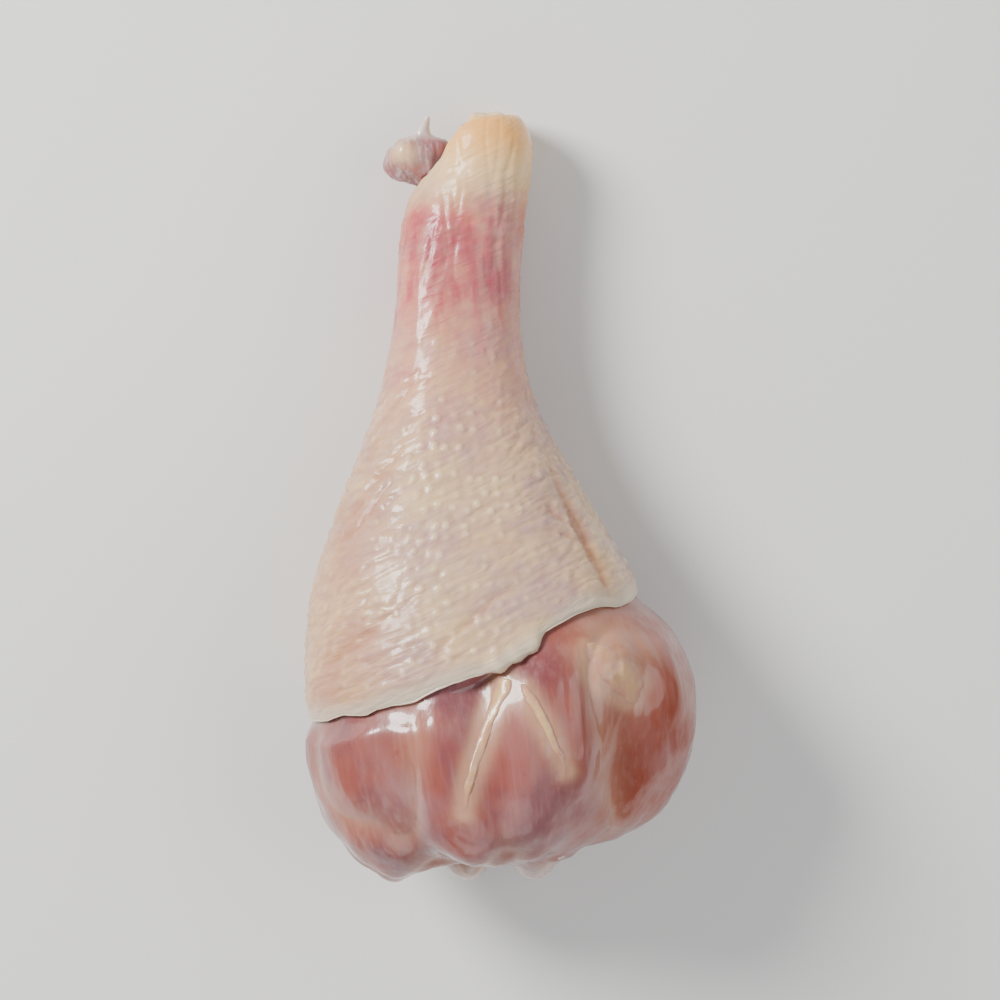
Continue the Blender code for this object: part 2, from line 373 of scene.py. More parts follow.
# How much of its colour each mask lays over the skin.
skinTints = {
    "hollowShade": 0.34,
    "follicle": 0.65,
    "yellow": 0.22,
    "creaseShade": 0.6,
    "knob": 0.8,
    "tip": 0.7,
    "plum": 0.36,
    "margin": 0.6,
}


def follicleRows(surface, points):
    # staggered rows round the leg, a little uneven, each point on the skin's outer side
    chance = np.random.default_rng(11)
    spacing = skinShape["follicleSpacing"]
    stray = follicleShape["stray"]
    outside = 80 * mm  # rays start this far out, clear of the skin
    centres = []
    for row, along in enumerate(np.arange(*follicleShape["rows"], spacing * follicleShape["rowGap"])):
        middle = sectionMiddle(points, along)
        halfWidth = np.ptp(sectionOf(points, along)[:, 0]) / 2
        filled = 2 * math.pi * halfWidth * follicleShape["fullness"]
        count = max(follicleShape["fewest"], round(filled / spacing))
        for k in range(count):
            angle = 2 * math.pi * (k + 0.5 * (row % 2) + chance.uniform(-stray, stray)) / count
            out = Vector((math.cos(angle), 0, math.sin(angle)))
            wander = chance.uniform(-stray, stray) * spacing
            start = Vector((middle[0], hockTip - along + wander, middle[2]))
            hit = surface.ray_cast(start + out * outside, -out)[0]
            if hit is not None:
                centres.append(hit)
    return centres, chance.uniform(*follicleShape["strengths"], len(centres))


def cutEdge(points):
    # the furthest point towards the knee in each slice round the leg
    count = skinShape["slices"]
    middle = sectionMiddle(points, skinShape["edgeMiddle"])
    turns = np.arctan2(points[:, 2] - middle[2], points[:, 0] - middle[0]) / (2 * math.pi)
    sliceOf = np.round(turns * count) % count
    slices = [points[sliceOf == k] for k in range(count)]
    return np.array([near[np.argmax(alongOf(near))] for near in slices])


def edgeDistance(points, rim):
    # how far each point lies from the cut edge, counted along the leg, and its angle round the leg
    middle = rim.mean(0)
    turn = np.arctan2(rim[:, 2] - middle[2], rim[:, 0] - middle[0])
    order = np.argsort(turn)
    angle = np.arctan2(points[:, 2] - middle[2], points[:, 0] - middle[0])
    edge = np.interp(angle, turn[order], alongOf(rim)[order], period=2 * math.pi)
    return edge - alongOf(points), angle


def follicleBumps(points, outer, toEdge, surface, cage):
    centres, strengths = follicleRows(surface, cage)
    distance, nearest = distancesTo(points, centres)
    share = np.minimum(distance / skinShape["follicleRadius"], 1)
    bumps = (1 - share * share) ** 2 * strengths[nearest] * outer
    patchy = np.clip(0.62 + 0.5 * field(points, (14 * mm, 14 * mm, 14 * mm), 1), 0.15, 1)
    return bumps * patchy * rise(alongOf(points), 24 * mm, 50 * mm) * rise(toEdge, 1 * mm, 5 * mm)


def creaseLines(points, topSide):
    along, across = alongOf(points), acrossOf(points)
    wander = 0.8 * mm * field(points, (6 * mm, 6 * mm, 6 * mm), 8)
    creases = np.zeros(len(points))
    for startAlong, startAcross, endAlong, endAcross, depth in skinCreases:
        start = np.array([startAcross, startAlong]) * mm
        way = np.array([endAcross, endAlong]) * mm - start
        here = np.stack([across, along], 1) - start
        share = np.clip((here @ way) / (way @ way), 0, 1)
        off = here - share[:, None] * way
        distance = np.abs(np.hypot(off[:, 0], off[:, 1]) + wander)
        fade = np.sin(math.pi * (0.1 + 0.8 * share))
        creases = np.maximum(creases, depth * bell(distance, 0, 0.8 * mm) * fade)
    return creases * topSide


def skinWrinkles(points):
    # lines on the left flank and rings by the hock, a fine weave in step with the cut edge, and
    # pleats along the shank
    along, across = alongOf(points), acrossOf(points)
    slant = turned(points, skinShape["weaveTurn"])
    flank = bell(along, 62 * mm, 20 * mm) * rise(-across, 6 * mm, 18 * mm)
    lines = ridges(slant, (11 * mm, 2.0 * mm, 9 * mm), 2) * (0.2 + 0.8 * flank)
    rings = ridges(points, (14 * mm, 2.2 * mm, 14 * mm), 3) * bell(along, 20 * mm, 7 * mm)
    weave = ridges(slant, (7 * mm, 1.35 * mm, 4 * mm), 4) * rise(along, 38 * mm, 58 * mm)
    pleats = ridges(points, (2.4 * mm, 15 * mm, 2.4 * mm), 14) * bell(along, 18 * mm, 16 * mm)
    return lines + rings, weave, pleats


def makeSkin():
    bm = mergedCopy("skin")
    cage = np.array([v.co for v in bm.verts])
    surface = BVHTree.FromBMesh(bm)
    bm = smoothed(bm, 2)
    rim = cutEdge(pointsOf(bm)[0])
    stations, step = skinShape["stations"], skinShape["stationStep"]
    middles = np.array([sectionMiddle(cage, k * step) for k in range(stations)])

    def facesOut(point, normal):
        middle = middles[int(np.clip((hockTip - point.y) / step, 0, stations - 1))]
        return (point.x - middle[0]) * normal.x + (point.z - middle[2]) * normal.z > 0

    def coarse(face):
        large = face.calc_area() > skinShape["fineFaceArea"]
        return large and facesOut(face.calc_center_median(), face.normal)

    for _ in range(2):
        bm.normal_update()
        refine(bm, coarse)
    points, normals = pointsOf(bm)
    along, across = alongOf(points), acrossOf(points)
    nearest = np.clip((along / step).astype(int), 0, stations - 1)
    out = (points - middles[nearest]) * (1, 0, 1)
    out /= np.linalg.norm(out, axis=1)[:, None]
    facing = (out * normals).sum(1)
    outer = (facing > 0).astype(float)
    toEdge, angle = edgeDistance(points, rim)
    print("skin is cut to", len(points), "points")

    follicles = follicleBumps(points, outer, toEdge, surface, cage)
    wrinkles, weave, pleats = skinWrinkles(points)
    creases = creaseLines(points, rise(normals[:, 2], -0.2, 0.5))
    sag = field(points, (15 * mm, 22 * mm, 15 * mm), 5) * rise(along, 12 * mm, 40 * mm)
    height = (
        skinShape["follicleHeight"] * follicles
        - skinShape["weaveDepth"] * weave * (1 - 0.6 * follicles)
        - skinShape["wrinkleDepth"] * wrinkles
        - skinShape["pleatDepth"] * pleats
        - skinShape["creaseDepth"] * creases
        + skinShape["sagDepth"] * sag
        + skinShape["grainDepth"] * field(points, (1.1 * mm, 1.1 * mm, 1.1 * mm), 6)
    )

    # the cut edge is thinner and wavy, with a few lumps
    lip = fall(toEdge, -0.5 * mm, 4.5 * mm)
    height = height * (1 - 0.7 * lip)
    thinning = skinShape["lipThinning"] * lip * rise(facing, -0.6, 0.4)
    lumps = sum(
        bell(across, x * mm, size * mm) * bell(along, y * mm, size * mm) for x, y, size in edgeLumps
    ) * rise(normals[:, 2], 0, 0.5)
    height += skinShape["lumpHeight"] * lumps
    circle = np.stack([np.cos(angle), np.sin(angle), 0 * angle], 1)
    waves = field(circle, (0.30, 0.30, 1), 9) + 0.2 * field(circle, (0.09, 0.09, 1), 10)
    hang = skinShape["lipWaves"] * waves + skinShape["lumpHang"] * lumps
    moved = points + normals * (height * outer)[:, None] - out * thinning[:, None]
    moved[:, 1] -= hang * fall(toEdge, 0, 7 * mm)
    moved[:, 2] = np.maximum(moved[:, 2], np.minimum(points[:, 2], 0))
    moveTo(bm, moved)

    toTendon, _ = distancesTo(points, cornersOf("tendon"))
    marginReach = (4.2 + 2.2 * field(points, (9 * mm, 9 * mm, 9 * mm), 15)) * mm
    margin = np.maximum(rise(1 - toEdge / marginReach, 0, 0.9), 0.8 * bell(toTendon, 0, 2.2 * mm))
    masks = {
        "bruise": bruiseMask(points),
        "knob": fall(along, *skinZones["knob"]),
        "margin": margin,
        "follicle": follicles,
        # painted shade: darker in the hollows of the weave, wrinkles and pleats, not on the follicles
        "hollowShade": np.clip(0.8 * weave + wrinkles + 0.6 * pleats, 0, 1) * (1 - follicles) * outer,
        "tip": fall(along, *skinZones["tip"]),
        # painted shade: brown laid along the creases, by their depth
        "creaseShade": creases * rise(along, *skinZones["creaseShade"]),
        "yellow": rise(field(points, (16 * mm, 12 * mm, 16 * mm), 13), 0.2, 0.6),
        # the left flank darker and browner: partly its own brownish tone, partly painted shade
        "flank": rise(-across, *skinZones["flankAcross"]) * rise(along, *skinZones["flankAlong"]),
    }
    finishPiece("looseSkin", bm, skinMaterial(), ["skin"], masks)
    return rim


def bruiseMask(points):
    # strongest below the knob and on the left, with a faint end down the shank and streaks
    along, across = alongOf(points), acrossOf(points)
    left = fall(across, *skinZones["bruiseAcross"])
    band = rise(along, *skinZones["bruiseTop"]) * fall(along, *skinZones["bruiseEnd"])
    faintEnd = 0.45 * bell(along, 42 * mm, 13 * mm)
    streaks = 0.35 * bell(along, 28 * mm, 13 * mm) * field(points, (4 * mm, 13 * mm, 4 * mm), 12)
    return band * (0.6 + 0.4 * left) + faintEnd + streaks


def skinMaterial():
    paint = Paint(
        "rawSkin",
        {
            "IOR": 1.42,
            "Subsurface Weight": 0.12,
            "Subsurface Radius": (1.0, 0.4, 0.25),
            "Subsurface Scale": 1.0 * mm,
            "Coat Roughness": 0.14,
            "Coat IOR": 1.36,
        },
    )
    broad = paint.between(paint.clouds(12 * mm, 4), 0.38, 0.64)
    mottle = paint.between(paint.clouds(2.4 * mm, 4), 0.35, 0.68)
    lines = paint.between(paint.streaks((6 * mm, 1.0 * mm, 4 * mm), skinShape["weaveTurn"]), 0.38, 0.64)
    streaks = paint.between(paint.streaks((2.6 * mm, 15 * mm, 2.6 * mm), detail=4), 0.36, 0.72)
    grain = paint.clouds(0.5 * mm, 3)
    bruise = paint.mask("bruise")
    cool = broad * 0.45 + mottle * 0.2 + lines * 0.3
    colour = paint.mix(skinColours["cream"], skinColours["lavender"], cool)
    # painted shade in the hollows of the weave, wrinkles and pleats
    colour = paint.mix(colour, skinColours["hollowShade"], paint.mask("hollowShade") * skinTints["hollowShade"])
    raised = paint.between(paint.mask("follicle"), 0.1, 0.7)
    colour = paint.mix(colour, skinColours["follicle"], raised * skinTints["follicle"])
    colour = paint.mix(colour, skinColours["fat"], paint.mask("yellow") * skinTints["yellow"])
    # the left flank: partly its own brownish tone, partly painted shade
    colour = paint.mix(colour, skinColours["brownAndShade"], paint.mask("flank") * (0.28 + broad * 0.25))
    # painted shade in the creases
    colour = paint.mix(colour, skinColours["brownAndShade"], paint.mask("creaseShade") * skinTints["creaseShade"])
    colour = paint.mix(colour, skinColours["knob"], paint.mask("knob") * skinTints["knob"])
    colour = paint.mix(colour, skinColours["fat"], paint.mask("tip") * skinTints["tip"])
    colour = paint.mix(colour, skinColours["rose"], bruise * (0.48 + streaks * 0.32 + mottle * 0.14))
    plum = paint.between(bruise * (0.45 + streaks * 0.4 + broad * 0.4), 0.55, 1.1)
    colour = paint.mix(colour, skinColours["plum"], plum * skinTints["plum"])
    colour = paint.mix(colour, skinColours["margin"], paint.mask("margin") * skinTints["margin"])
    paint.feed("Base Color", colour)
    paint.feed("Roughness", 0.32 + grain * 0.2)
    paint.feed("Coat Weight", paint.between(paint.clouds(5 * mm, 3), 0.36, 0.62, 0.2, 0.85))
    paint.feed("Normal", paint.bump(grain * 0.5 + lines * 0.8, 0.12 * mm, 0.7))
    return paint.material


# The bare meat.

meatShape = {
    "fibreDepth": 0.12 * mm,
    "bundleDepth": 0.30 * mm,
    "seamDepth": 0.9 * mm,
    "lumpDepth": 0.45 * mm,
    "fineFaceArea": 0.6 * mm * mm,
    "bareFrom": 76 * mm,  # where along the leg the fine faces start
    "kneeDepth": 14 * mm,  # how deep the knee's face counts, from its end
    "endDepth": 9 * mm,
    "socket": (12.2 * mm, 14.5 * mm),  # the relief fades out between these distances from the bone
    "fanning": 0.25,
    "fanLength": 60 * mm,
}
# Soft fat in the meat's surface: across, along, size and height in millimetres.
fatPatches = ((3.1, 94.2, 2.6, 0.6), (20.5, 90.5, 5.0, 0.3), (24.5, 93.5, 4.5, 0.3))
fatNodes = ("fat_strand_long", "fat_strand_short", "fat_pad")
meatColours = {
    "rose": shade(146, 76, 68),
    "dusk": shade(120, 64, 72),
    "russet": shade(146, 62, 32),
    "fascia": shade(182, 136, 134),
    "blood": shade(104, 26, 34),
    "fat": shade(216, 172, 136),
}
# How much of its colour each mask or pattern lays over the meat.
meatTints = {
    "warm": 0.85,
    "membrane": 0.24,
    "strands": 0.2,
    "web": 0.25,
    "seam": 0.26,
    "halo": 0.55,
    "specks": 0.22,
    "blood": 0.35,
}


def makeMeat(rim):
    bm = smoothed(mergedCopy("meat"), 2)
    bm.normal_update()
    boneMiddle = np.mean(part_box("bone"), axis=0)
    kneeFace = cadBox[0][1] + meatShape["kneeDepth"]
    kneeEnd = cadBox[0][1] + meatShape["endDepth"]

    def coarse(face):
        middle = face.calc_center_median()
        out = Vector((middle.x - boneMiddle[0], 0, middle.z - boneMiddle[2]))
        outside = face.normal.dot(out) > 0 or middle.y < kneeFace
        bare = hockTip - middle.y > meatShape["bareFrom"] and outside
        return bare and face.calc_area() > meatShape["fineFaceArea"]

    refine(bm, coarse)
    points, normals = pointsOf(bm)
    toEdge, _ = edgeDistance(points, rim)
    out = (points - boneMiddle) * (1, 0, 1)
    fromBone = np.hypot(out[:, 0], out[:, 2])
    facing = ((normals * out).sum(1) > 0) | (points[:, 1] < kneeEnd)
    shown = rise(-toEdge, 0.5 * mm, 4 * mm) * facing * rise(fromBone, *meatShape["socket"])

    # the fibres fan out with the muscle heads
    spread = meatShape["fanning"] * (points - boneMiddle) * (points[:, 1:2] - boneMiddle[1])
    fan = points + spread / meatShape["fanLength"]
    fibres = field(fan, (1.1 * mm, 24 * mm, 1.1 * mm), 21)
    fibres += 0.5 * field(fan, (0.55 * mm, 13 * mm, 0.55 * mm), 22)
    seams = ridges(fan, (13 * mm, 46 * mm, 13 * mm), 23) ** 2
    height = (
        meatShape["fibreDepth"] * fibres * (1 - 0.6 * seams)
        + meatShape["bundleDepth"] * field(fan, (3.2 * mm, 30 * mm, 3.2 * mm), 27)
        - meatShape["seamDepth"] * seams
        + meatShape["lumpDepth"] * field(points, (6 * mm, 9 * mm, 6 * mm), 24)
    )
    # soft fat lies in the surface round the strands' join and the pad
    along, across = alongOf(points), acrossOf(points)
    fatty = 0 * along
    for x, y, size, lift in fatPatches:
        patch = bell(across, x * mm, size * mm) * bell(along, y * mm, size * mm) * (normals[:, 2] > 0.2)
        fatty = np.maximum(fatty, patch)
        height += lift * mm * patch
    fatty *= 0.75 + 0.5 * field(points, (3 * mm, 3 * mm, 3 * mm), 28)
    moved = points + normals * (height * shown)[:, None]
    moved[:, 2] = np.maximum(moved[:, 2], np.minimum(points[:, 2], 0))
    moveTo(bm, moved)

    toFat, _ = distancesTo(points, np.concatenate([cornersOf(node) for node in fatNodes]))
    patches = rise(field(points, (12 * mm, 12 * mm, 12 * mm), 26), -0.1, 0.3)
    kneeBlood = bell(fromBone, 13 * mm, 3 * mm) * (points[:, 1] < kneeFace)
    masks = {
        "seam": seams,
        "warm": rise(across, 6 * mm, 30 * mm),
        "web": ridges(points, (9 * mm, 16 * mm, 9 * mm), 25) * patches,
        "blood": 0.5 * bell(toEdge, -1 * mm, 2.5 * mm) + kneeBlood,
        "halo": np.maximum(bell(toFat, 0.3 * mm, 1.5 * mm), fatty),
    }
    surface = BVHTree.FromBMesh(bm)
    finishPiece("bareMeat", bm, meatMaterial(), ["meat"], masks)
    return surface


def meatMaterial():
    paint = Paint(
        "rawMeat",
        {
            "IOR": 1.42,
            "Subsurface Weight": 0.18,
            "Subsurface Radius": (1.0, 0.25, 0.2),
            "Subsurface Scale": 1.6 * mm,
            "Coat Roughness": 0.08,
            "Coat IOR": 1.38,
        },
    )
    broad = paint.between(paint.clouds(11 * mm, 3), 0.38, 0.64)
    strands = paint.streaks((0.9 * mm, 16 * mm, 0.9 * mm), 7, 4)
    colour = paint.mix(meatColours["rose"], meatColours["dusk"], broad)
    colour = paint.mix(colour, meatColours["russet"], paint.mask("warm") * meatTints["warm"])
    membrane = paint.between(paint.clouds(15 * mm, 2), 0.42, 0.62)
    colour = paint.mix(colour, meatColours["fascia"], membrane * meatTints["membrane"])
    pale = paint.between(strands, 0.42, 0.78)
    colour = paint.mix(colour, meatColours["fascia"], pale * meatTints["strands"])
    colour = paint.mix(colour, meatColours["fascia"], paint.mask("web") * meatTints["web"])
    colour = paint.mix(colour, meatColours["fat"], paint.mask("seam") * meatTints["seam"])
    colour = paint.mix(colour, meatColours["fat"], paint.mask("halo") * meatTints["halo"])
    specks = paint.between(paint.clouds(3.2 * mm, 4), 0.64, 0.74)
    colour = paint.mix(colour, meatColours["blood"], specks * meatTints["specks"])
    colour = paint.mix(colour, meatColours["blood"], paint.mask("blood") * meatTints["blood"])
    paint.feed("Base Color", colour)
    paint.feed("Roughness", 0.24 + strands * 0.16)
    paint.feed("Coat Weight", paint.between(paint.clouds(5 * mm, 3), 0.3, 0.65, 0.55, 1.0))
    paint.feed("Normal", paint.bump(strands, 0.14 * mm, 0.7))
    return paint.material


# The bone and its gristle.

boneShape = {
    "lumps": 0.45 * mm,
    "pits": 0.14 * mm,
    "groove": (0.6 * mm, 2.6 * mm),  # middle and half width, from the bone's middle
    "grooveDepth": 2.9 * mm,
    "lobes": (6.5 * mm, 3.5 * mm),
    "lobeRise": 1.3 * mm,
    "gristle": (100 * mm, 112 * mm),  # along the leg, where the cream bone turns to gristle
    "face": (124 * mm, 131 * mm),
    "border": (127 * mm, 131 * mm),
}
boneColours = {
    "gristle": shade(206, 172, 150),
    "pearl": shade(188, 174, 182),
    "cream": shade(238, 190, 118),
    "blush": shade(180, 84, 82),
}


def makeBone():
    bm = smoothed(mergedCopy("bone"), 2)
    points, normals = pointsOf(bm)
    along = alongOf(points)
    lumps = field(points, (3.5 * mm, 3.5 * mm, 3.5 * mm), 31) * boneShape["lumps"]
    pits = ridges(points, (2.5 * mm, 2.5 * mm, 2.5 * mm), 32) * boneShape["pits"]
    kneeFace = rise(along, *boneShape["face"])
    off = acrossOf(points) - boneAcross
    groove = bell(off, *boneShape["groove"])
    lobes = bell(np.abs(off), *boneShape["lobes"])
    moved = points + normals * (lumps - pits)[:, None]
    moved[:, 1] += (boneShape["grooveDepth"] * groove - boneShape["lobeRise"] * lobes) * kneeFace
    moveTo(bm, moved)
    knee = rise(along, *boneShape["gristle"])
    border = fall(along, *boneShape["border"]) * knee
    masks = {"knee": knee, "groove": groove * knee, "border": border}
    finishPiece("legBone", bm, boneMaterial(), ["bone"], masks)


def boneMaterial():
    paint = Paint(
        "boneGristle",
        {
            "IOR": 1.45,
            "Subsurface Weight": 0.22,
            "Subsurface Radius": (1.0, 0.6, 0.45),
            "Subsurface Scale": 1.6 * mm,
            "Coat Roughness": 0.08,
        },
    )
    cloud = paint.between(paint.clouds(4 * mm, 3), 0.35, 0.65)
    knee = paint.mask("knee")
    colour = paint.mix(boneColours["cream"], boneColours["gristle"], knee)
    colour = paint.mix(colour, boneColours["pearl"], cloud * 0.6 * knee)
    stain = paint.between(paint.clouds(5 * mm, 3), 0.48, 0.68)
    colour = paint.mix(colour, boneColours["blush"], stain * 0.3 * knee)
    flushed = paint.mask("groove") * 0.5 + paint.mask("border") * 0.5
    colour = paint.mix(colour, boneColours["blush"], flushed)
    paint.feed("Base Color", colour)
    paint.feed("Roughness", 0.22 + cloud * 0.12)
    paint.feed("Coat Weight", 0.6 + cloud * 0.3)
    paint.feed("Normal", paint.bump(paint.clouds(0.8 * mm, 3), 0.08 * mm, 0.5))
    return paint.material


# The fat on the bare meat.

fatShape = {
    "gap": 0.55 * mm,
    "strandFlattening": 0.66,
    "padFlattening": 0.5,
    "sunk": 0.30 * mm,
    "lumps": 0.14 * mm,
    "ragged": 0.28 * mm,
    "melt": 0.55 * mm,
}
fatColours = {
    "cream": shade(222, 186, 130),
    "yellow": shade(216, 172, 96),
    "pink": shade(204, 146, 116),
    "melted": shade(184, 126, 114),
}


def fatMaterial():
    paint = Paint(
        "softFat",
        {
            "IOR": 1.45,
            "Subsurface Weight": 0.25,
            "Subsurface Radius": (1.0, 0.7, 0.4),
            "Subsurface Scale": 1.2 * mm,
            "Coat Roughness": 0.12,
            "Coat Weight": 0.6,
        },
    )
    cloud = paint.between(paint.clouds(2.4 * mm, 3), 0.35, 0.65)
    blush = paint.between(paint.clouds(5.5 * mm, 2), 0.45, 0.65)
    colour = paint.mix(fatColours["cream"], fatColours["yellow"], cloud * 0.6)
    colour = paint.mix(colour, fatColours["pink"], blush * 0.55)
    paint.feed("Base Color", paint.mix(colour, fatColours["melted"], paint.mask("melt") * 0.9))
    paint.feed("Roughness", 0.3 + cloud * 0.15)
    paint.feed("Normal", paint.bump(paint.clouds(0.7 * mm, 3), 0.1 * mm, 0.5))
    return paint.material


def heightsOf(surface, points):
    # how high the surface is under each point
    above = cadBox[1][2] + 10 * mm
    down = Vector((0, 0, -1))
    return np.array([surface.ray_cast(Vector((x, y, above)), down)[0].z for x, y, _ in points])


def makeFat(node, name, material, plainMeat, meatSurface, flattening):
    # draped on the uneven meat and low at its ragged edges, so that it melts into the meat
    bm = smoothed(mergedCopy(node), 3)
    points, _ = pointsOf(bm)
    raised = points[:, 2] - heightsOf(plainMeat, points) - fatShape["gap"]
    moved = points.copy()
    for axis in (0, 1):
        moved[:, axis] += field(points, (2.6 * mm, 2.6 * mm, 9 * mm), 41 + axis) * fatShape["ragged"]
    lumps = field(points, (1.6 * mm, 1.6 * mm, 9 * mm), 43) * fatShape["lumps"]
    lift = raised * flattening - fatShape["sunk"] + lumps * rise(raised, 0, 0.5 * mm)
    moved[:, 2] = heightsOf(meatSurface, moved) + lift
    moveTo(bm, moved)
    melt = 1 - rise(lift, 0, fatShape["melt"])
    finishPiece(name, bm, material, [node], {"melt": melt})


# The cut tendon, and the tissue round the bone's ends.

tendonShape = {
    "lumps": 0.55 * mm,
    "grooves": 0.22 * mm,
    "strandEnd": (4 * mm, 6.5 * mm),  # the strand turns into the mass between these, along the leg
    "blobAcross": (-13.4 * mm, 2.2 * mm),  # the cream blob's middle and half width
    "blobAlong": (8.2 * mm, 2.0 * mm),
    "blobHeight": 0.5 * mm,
}
tendonColours = {
    "mauve": shade(150, 112, 118),
    "white": shade(222, 204, 196),
    "cream": shade(232, 196, 148),
    "rose": shade(178, 92, 90),
}


def tendonMaterial():
    paint = Paint(
        "wetTendon",
        {
            "IOR": 1.45,
            "Subsurface Weight": 0.2,
            "Subsurface Radius": (1.0, 0.6, 0.5),
            "Subsurface Scale": 1.0 * mm,
            "Coat Roughness": 0.1,
            "Coat Weight": 0.8,
        },
    )
    strands = paint.streaks((0.6 * mm, 5 * mm, 0.6 * mm))
    stain = paint.between(paint.clouds(3 * mm, 3), 0.42, 0.62)
    sheen = paint.between(strands, 0.45, 0.7) * 0.45
    colour = paint.mix(tendonColours["mauve"], tendonColours["white"], sheen)
    colour = paint.mix(colour, tendonColours["rose"], stain * 0.5)
    colour = paint.mix(colour, tendonColours["cream"], paint.mask("blob"))
    paint.feed("Base Color", paint.mix(colour, tendonColours["white"], paint.mask("pale")))
    paint.feed("Roughness", 0.25 + strands * 0.2)
    paint.feed("Normal", paint.bump(strands, 0.12 * mm, 0.7))
    return paint.material


def makeTendon(material):
    # a lumpy mass with one cream blob, and a white strand at its end
    bm = smoothed(mergedCopy("tendon"), 2)
    points, normals = pointsOf(bm)
    along, across = alongOf(points), acrossOf(points)
    mass = rise(along, *tendonShape["strandEnd"])
    blob = bell(across, *tendonShape["blobAcross"]) * bell(along, *tendonShape["blobAlong"])
    grooves = field(points, (0.8 * mm, 8 * mm, 0.8 * mm), 51) * tendonShape["grooves"]
    lumps = field(points, (2.4 * mm, 2.4 * mm, 2.4 * mm), 53) * tendonShape["lumps"]
    height = (grooves + lumps) * mass + tendonShape["blobHeight"] * blob
    moveTo(bm, points + normals * height[:, None])
    masks = {"blob": 0.9 * blob, "pale": 1 - mass}
    finishPiece("cutTendon", bm, material, ["tendon"], masks)


# Soft tissue that fills the hock's opening behind the bone's tip: across, along and height of its
# middle and its half sizes, in millimetres.
hockTissueShape = {"middle": (-0.3, 14.2, 8.85), "half": (7.8, 7.0, 7.3), "lumps": 0.4 * mm}


def makeHockTissue(material):
    bm = bmesh.new()
    bmesh.ops.create_uvsphere(bm, u_segments=64, v_segments=40, radius=mm)
    bmesh.ops.scale(bm, vec=hockTissueShape["half"], verts=bm.verts)
    bmesh.ops.translate(bm, vec=spotAt(*hockTissueShape["middle"]), verts=bm.verts)
    points, normals = pointsOf(bm)
    lumps = field(points, (2.2 * mm, 2.2 * mm, 2.2 * mm), 71) * hockTissueShape["lumps"]
    moveTo(bm, points + normals * lumps[:, None])
    blob = 0.5 * rise(field(points, (2.5 * mm, 2.5 * mm, 2.5 * mm), 72), 0.1, 0.5)
    finishPiece("hockTissue", bm, material, (), {"blob": blob, "pale": 0 * blob})


# Ragged rings of tissue that close the gap round the bone's ends. Sizes are in millimetres.
collarShape = {
    "kneeCollar": {"along": 127.7, "half": (12.7, 10.5), "section": (2.8, 1.5), "ragged": 0.7, "seed": 61},
    "hockCollar": {"along": 3.6, "half": (4.2, 4.5), "section": (0.5, 0.6), "ragged": 0.25, "seed": 62},
}
# Stumps of ligament round the knee's joint face: angle, distance from the bone's middle, and half
# sizes across, along and in height. Lengths are in millimetres.
ligaments = (
    (35, 11.2, 3.6, 2.2, 3.4),
    (82, 9.9, 5.2, 1.9, 2.2),
    (148, 12.0, 3.0, 2.4, 3.8),
    (212, 11.8, 3.8, 2.0, 3.2),
    (296, 10.2, 4.8, 2.3, 2.4),
    (328, 10.4, 2.6, 1.8, 3.0),
)
ligamentLumps = 0.4
collarSwell = {"mean": 0.75, "change": 0.8, "rate": 2.6}


def makeCollar(name, material):
    shape = collarShape[name]
    middle = sectionMiddle(cornersOf("bone"), shape["along"] * mm)
    bm = bmesh.new()
    bmesh.ops.create_circle(bm, segments=12, radius=mm)
    bmesh.ops.translate(bm, verts=bm.verts, vec=(1, 0, 0))
    bmesh.ops.spin(
        bm,
        geom=bm.verts[:] + bm.edges[:],
        cent=(0, 0, 0),
        axis=(0, 1, 0),
        angle=2 * math.pi,
        steps=120,
        use_merge=True,
    )
    bmesh.ops.remove_doubles(bm, verts=bm.verts, dist=0.001 * mm)
    bmesh.ops.recalc_face_normals(bm, faces=bm.faces)
    for vertex in bm.verts:
        # the ring's section swells and thins on its way round
        radius = math.hypot(vertex.co.x, vertex.co.z)
        way = Vector((vertex.co.x / radius, 0, vertex.co.z / radius))
        uneven = noise.noise(way * collarSwell["rate"] + Vector((0, shape["seed"], 0)))
        swell = collarSwell["mean"] + collarSwell["change"] * uneven
        outward = (radius - 1) * shape["section"][0] * swell
        vertex.co.x = way.x * (shape["half"][0] * mm + outward)
        vertex.co.y = vertex.co.y * shape["section"][1] * swell
        vertex.co.z = way.z * (shape["half"][1] * mm + outward)
    bmesh.ops.translate(bm, verts=bm.verts, vec=(middle[0], hockTip - shape["along"] * mm, middle[2]))
    points, normals = pointsOf(bm)
    ragged = field(points, (3.2 * mm,) * 3, shape["seed"])
    ragged += 0.5 * field(points, (1.1 * mm,) * 3, shape["seed"])
    moveTo(bm, points + normals * (ragged * shape["ragged"] * mm)[:, None])
    pale = rise(field(points, (4 * mm,) * 3, shape["seed"] + 5), 0, 0.6) * 0.45
    finishPiece(name, bm, material, (), {"blob": 0.15 * (1 - pale), "pale": pale})


def makeLigaments(material):
    alongMiddle = collarShape["kneeCollar"]["along"]
    middle = sectionMiddle(cornersOf("bone"), alongMiddle * mm)
    bm = bmesh.new()
    for angle, out, *half in ligaments:
        turn = math.radians(angle)
        made = bmesh.ops.create_uvsphere(bm, u_segments=32, v_segments=20, radius=mm)["verts"]
        bmesh.ops.scale(bm, vec=half, verts=made)
        way = Vector((math.cos(turn), 0, math.sin(turn)))
        place = Vector((middle[0], hockTip - alongMiddle * mm, middle[2])) + way * out * mm
        bmesh.ops.translate(bm, vec=place, verts=made)
    points, normals = pointsOf(bm)
    lumps = field(points, (1.9 * mm,) * 3, 81) + 0.5 * field(points, (0.8 * mm,) * 3, 82)
    moveTo(bm, points + normals * (lumps * ligamentLumps * mm)[:, None])
    pale = 0.5 * rise(field(points, (5 * mm,) * 3, 83), -0.1, 0.4)
    finishPiece("kneeLigaments", bm, material, (), {"blob": 0.2 * (1 - pale), "pale": pale})


# The stage.

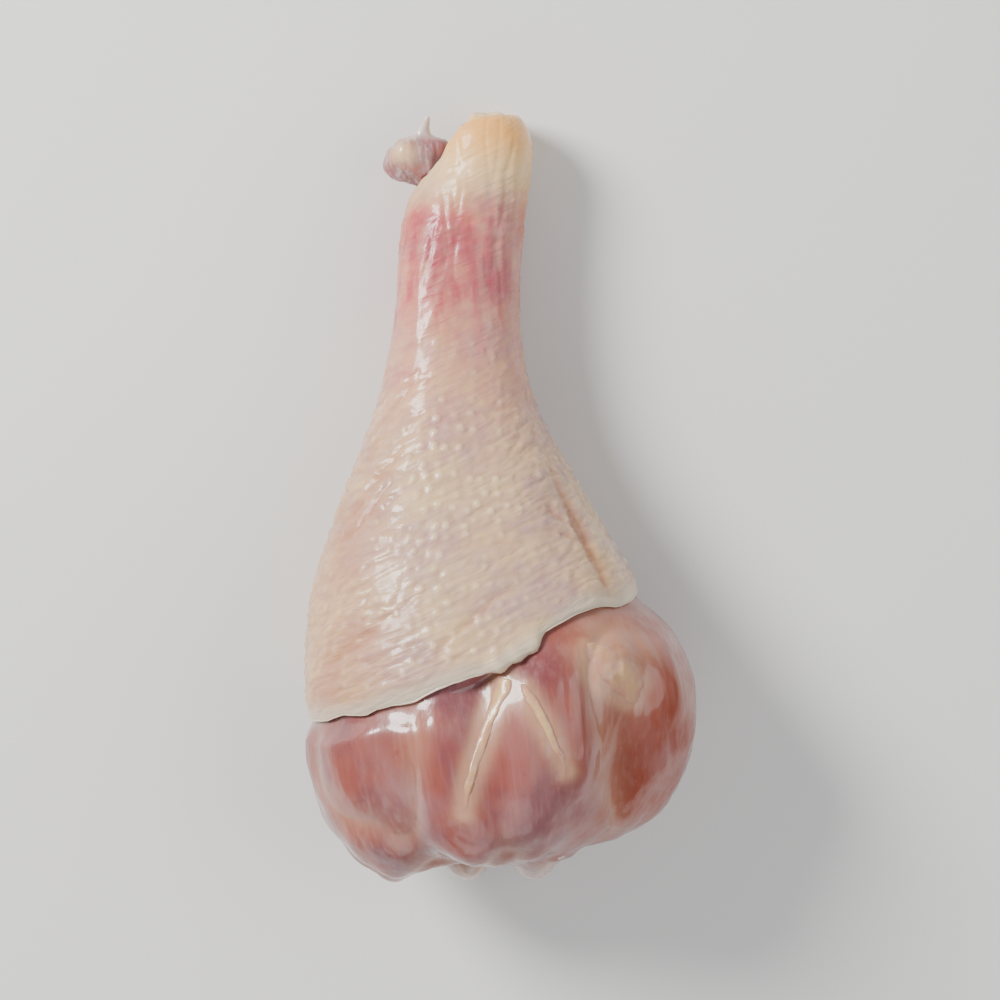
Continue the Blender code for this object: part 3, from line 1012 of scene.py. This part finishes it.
def makeStage():
    bm = bmesh.new()
    bmesh.ops.create_grid(bm, x_segments=1, y_segments=1, size=2.0)
    mesh = bpy.data.meshes.new("floor")
    bm.to_mesh(mesh)
    bm.free()
    paint = Paint("paleFloor", {"Base Color": (0.80, 0.80, 0.79, 1), "Roughness": 0.7})
    mesh.materials.append(paint.material)
    floor = bpy.data.objects.new("floor", mesh)
    bpy.context.scene.collection.objects.link(floor)


lookedAt = Vector((0.0, 0.0, 0.02))  # the camera and the lights point here
lights = {
    "key": {"place": (-0.50, 0.34, 0.44), "size": 0.30, "power": 10.0, "colour": (1.0, 0.98, 0.95)},
    "fill": {"place": (0.60, 0.05, 0.60), "size": 0.80, "power": 3.4, "colour": (0.98, 0.99, 1.0)},
    "front": {"place": (-0.10, -0.70, 0.50), "size": 0.80, "power": 2.2, "colour": (1.0, 0.99, 0.97)},
}
worldStrength = 0.30


def makeLights():
    for name, shape in lights.items():
        light = bpy.data.lights.new(name, "AREA")
        light.shape = "DISK"
        light.size = shape["size"]
        light.energy = shape["power"]
        light.color = shape["colour"]
        lamp = bpy.data.objects.new(name, light)
        lamp.location = shape["place"]
        lamp.rotation_euler = (lookedAt - lamp.location).to_track_quat("-Z", "Y").to_euler()
        bpy.context.scene.collection.objects.link(lamp)
    world = bpy.data.worlds.new("studio")
    world.use_nodes = True
    world.node_tree.nodes["Background"].inputs["Color"].default_value = (0.95, 0.97, 1.0, 1)
    world.node_tree.nodes["Background"].inputs["Strength"].default_value = worldStrength
    bpy.context.scene.world = world


cameraShape = {"distance": 0.75, "tilt": 6.0, "lens": 155}


def makeCamera():
    # above the drumstick, a little beyond the hock, with the hock at the top of the view
    tilt = math.radians(cameraShape["tilt"])
    data = bpy.data.cameras.new("camera")
    data.lens = cameraShape["lens"]
    data.clip_start = 0.01
    camera = bpy.data.objects.new("camera", data)
    back = Vector((0, math.sin(tilt), math.cos(tilt)))
    up = Vector((0, math.cos(tilt), -math.sin(tilt)))
    turn = Matrix((up.cross(back), up, back)).transposed().to_4x4()
    place = lookedAt + back * cameraShape["distance"]
    camera.matrix_world = Matrix.Translation(place) @ turn
    bpy.context.scene.collection.objects.link(camera)
    bpy.context.scene.camera = camera


makeStage()
makeLights()
makeCamera()
print("stage, lights and camera are set")
skinRim = makeSkin()
meatSurface = makeMeat(skinRim)
makeBone()
softFat = fatMaterial()
plainMeat = surfaceOf("meat")
strandFlattening = fatShape["strandFlattening"]
makeFat("fat_strand_long", "fatStrandLong", softFat, plainMeat, meatSurface, strandFlattening)
makeFat("fat_strand_short", "fatStrandShort", softFat, plainMeat, meatSurface, strandFlattening)
makeFat("fat_pad", "fatPad", softFat, plainMeat, meatSurface, fatShape["padFlattening"])
wetTendon = tendonMaterial()
makeTendon(wetTendon)
makeHockTissue(wetTendon)
makeCollar("kneeCollar", wetTendon)
makeCollar("hockCollar", wetTendon)
makeLigaments(wetTendon)
